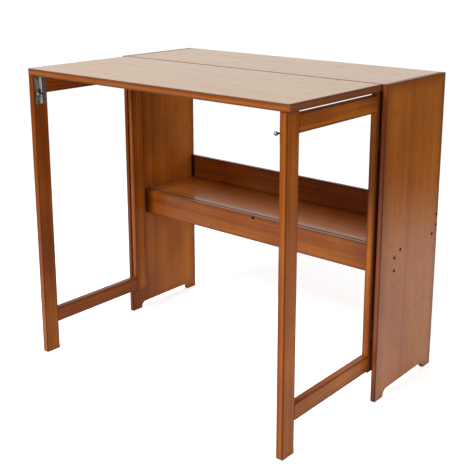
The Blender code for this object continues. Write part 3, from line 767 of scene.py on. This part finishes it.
def makeScrew():
    head, rim, length = crossScrew["radius"], crossScrew["rim"], crossScrew["length"]
    bpy.ops.mesh.primitive_cylinder_add(vertices=crossScrew["sides"], radius=head, depth=rim,
                                        location=(0, 0, rim / 2))
    screw = settled("crossScrew")
    choose(screw, "polygons", looking(Vector((0, 0, 1))))
    bpy.ops.mesh.inset(thickness=crossScrew["shoulderIn"], depth=crossScrew["shoulderUp"])
    bpy.ops.mesh.inset(thickness=crossScrew["crownIn"], depth=crossScrew["crownUp"])
    choose(screw, "polygons", looking(Vector((0, 0, -1))))
    bpy.ops.mesh.inset(thickness=head - crossScrew["shank"])
    for share in (1 - crossScrew["tipShare"], crossScrew["tipShare"]):
        bpy.ops.mesh.extrude_region_move(TRANSFORM_OT_translate=dict(value=(0, 0, -length * share)))
    bpy.ops.transform.resize(value=(crossScrew["tip"], crossScrew["tip"], 1), center_override=(0, 0, -length))
    bpy.ops.object.mode_set(mode="OBJECT")
    crown = rim + crossScrew["shoulderUp"] + crossScrew["crownUp"]
    reach, width = crossScrew["crossLong"], crossScrew["crossWide"]
    for wide, deep in ((reach, width), (width, reach)):
        bpy.ops.mesh.primitive_cube_add(size=1, location=(0, 0, crown),
                                        scale=(wide, deep, 2 * crossScrew["crossDeep"]))
        combined(screw, settled("recess"), "DIFFERENCE")
    cleaned(screw, crossScrew["smoothAngle"])
    return screw


def leafSeats(node):   # where a hinge leaf has its two screws, and which way they face
    low, high = boxOf(node)
    inset, half = crossScrew["leafInset"], crossScrew["leafSpread"] / 2
    if node.startswith("flap_hinge"):
        facing, lengthwise = Vector((0, 0, -1)), Vector((half, 0, 0))
    else:
        outward = 1 if "_right_" in node else -1
        facing = Vector((outward if "gate_leaf" in node else -outward, 0, 0))
        lengthwise = Vector((0, 0, half))
    pin = middleOf(node.rsplit("_", 2)[0] + "_pin")
    seat = pin - facing * (crossScrew["pinToWood"] - crossScrew["leafThick"])
    seat.y = high.y - inset if "board_leaf" in node else low.y + inset
    return [seat - lengthwise, seat + lengthwise], facing


def plateSeat(node):   # where a screw of a bolt plate sits, and which way it faces
    left = "_left_" in node
    caseLow, caseHigh = boxOf("bolt_body_left" if left else "bolt_body_right")
    field = boltCase["thickness"] - boltCase["pressed"]
    seat = middleOf(node)
    seat.x = caseLow.x + field if left else caseHigh.x - field
    return seat, Vector((1 if left else -1, 0, 0))


def bodyOf(node):
    if node.endswith(("panel_leaf", "board_leaf")):
        return "carcass"
    if node.endswith("flap_leaf"):
        return "flap"
    return "left_gate" if "_left_" in node else "right_gate"


def setScrew(model, name, seat, facing, count):
    screw = copied(model, name)
    turn = Matrix.Rotation(math.radians(crossScrew["turn"] * count), 4, "Z")
    aim = facing.to_track_quat("Z", "Y").to_matrix().to_4x4()
    screw.matrix_world = Matrix.Translation(seat) @ aim @ turn
    bpy.ops.object.transform_apply(location=True, rotation=True, scale=True)
    return screw


screwModel = makeScrew()
screwCount = 0
for node in sorted(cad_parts):
    if node.endswith("_leaf"):
        seats, facing = leafSeats(node)
        for end, seat in zip(("a", "b"), seats):
            screwCount += 1
            screw = setScrew(screwModel, node + "_screw_" + end, seat, facing, screwCount)
            fitted(screw, "zincPlate", bodyOf(node))
    elif node.startswith("bolt_screw"):
        screwCount += 1
        screw = setScrew(screwModel, node + "_shown", *plateSeat(node), screwCount)
        fitted(screw, "brightZinc", bodyOf(node), node)
bpy.data.objects.remove(screwModel)
print("cross-head screws:", screwCount)

# floor, world and lamps
room = dict(
    floorSide=60.0, floorColour=(0.80, 0.80, 0.80, 1), farColour=(0.03, 0.03, 0.03, 1),
    floorGlow=0.62, mirrorGlow=0.22,   # with its own light the floor reads as white, also in the lacquer
    paperNear=1.2, paperFar=2.3,       # the lit paper ends here, and the room beyond is dark in the lacquer
    overhead=0.42, level=0.12, behind=1.0,   # light of the room from above, from the sides and from the back
    upFade=(0.0, 0.9), behindFade=(0.1, 0.8),
    key=dict(place=(-0.65, -3.5, 3.7), aim=(0, 0, 0.45), side=1.5, watts=220),
    fill=dict(place=(2.3, -1.2, 0.95), aim=(0, 0, 0.4), side=1.2, watts=17),
)


def paleFloor():
    material = bpy.data.materials.new("paleFloor")
    material.use_nodes = True
    tree = material.node_tree
    tree.nodes.clear()
    paint = tree.nodes.new("ShaderNodeBsdfDiffuse")
    glow = tree.nodes.new("ShaderNodeEmission")
    rays = tree.nodes.new("ShaderNodeLightPath").outputs
    away = spanOf(tree, tree.nodes.new("ShaderNodeTexCoord").outputs["Object"])
    paper = fade(tree, away, room["paperFar"], room["paperNear"])
    feed(tree, paint.inputs["Color"], tint(tree, paper, room["farColour"], room["floorColour"]))
    mirrored = calc(tree, "MAXIMUM", rays["Is Glossy Ray"], rays["Is Transmission Ray"])
    mirrored = calc(tree, "MULTIPLY", calc(tree, "MULTIPLY", mirrored, paper), room["mirrorGlow"])
    white = fade(tree, paper, 0.0, 1.0, 1.0, room["floorGlow"])
    white = calc(tree, "MULTIPLY", rays["Is Camera Ray"], white)
    feed(tree, glow.inputs["Strength"], calc(tree, "MAXIMUM", white, mirrored))
    both = tree.nodes.new("ShaderNodeAddShader")
    tree.links.new(paint.outputs[0], both.inputs[0])
    tree.links.new(glow.outputs[0], both.inputs[1])
    tree.links.new(both.outputs[0], tree.nodes.new("ShaderNodeOutputMaterial").inputs[0])
    return material


def makeWorld():
    world = bpy.data.worlds.new("studioWorld")
    world.use_nodes = True
    tree = world.node_tree
    tree.nodes.clear()
    sky = tree.nodes.new("ShaderNodeBackground")
    sky.inputs["Color"].default_value = (1, 1, 1, 1)
    rays = tree.nodes.new("ShaderNodeLightPath").outputs
    seen = calc(tree, "MAXIMUM", rays["Is Camera Ray"], rays["Is Glossy Ray"])
    seen = calc(tree, "MAXIMUM", seen, rays["Is Transmission Ray"])
    _, back, up = partsOf(tree, tree.nodes.new("ShaderNodeTexCoord").outputs["Generated"])
    soft = fade(tree, up, *room["upFade"], room["level"], room["overhead"])
    soft = calc(tree, "MAXIMUM", soft, fade(tree, back, *room["behindFade"], 0.0, room["behind"]))
    feed(tree, sky.inputs["Strength"], calc(tree, "MAXIMUM", seen, soft))
    tree.links.new(sky.outputs[0], tree.nodes.new("ShaderNodeOutputWorld").inputs[0])
    return world


def softLamp(name, lamp):
    bpy.ops.object.light_add(type="AREA", location=lamp["place"])
    light = bpy.context.object
    light.name = name
    light.data.shape = "DISK"
    light.data.size = lamp["side"]
    light.data.energy = lamp["watts"]
    light.rotation_euler = (Vector(lamp["aim"]) - Vector(lamp["place"])).to_track_quat("-Z", "Y").to_euler()


bpy.ops.mesh.primitive_plane_add(size=room["floorSide"], location=(0, 0, 0))
floor = bpy.context.object
floor.name = "studioFloor"
floor.data.materials.append(paleFloor())
scene.world = makeWorld()
softLamp("keyLamp", room["key"])
softLamp("fillLamp", room["fill"])
print("studio lit")

scene.view_settings.view_transform = "Standard"
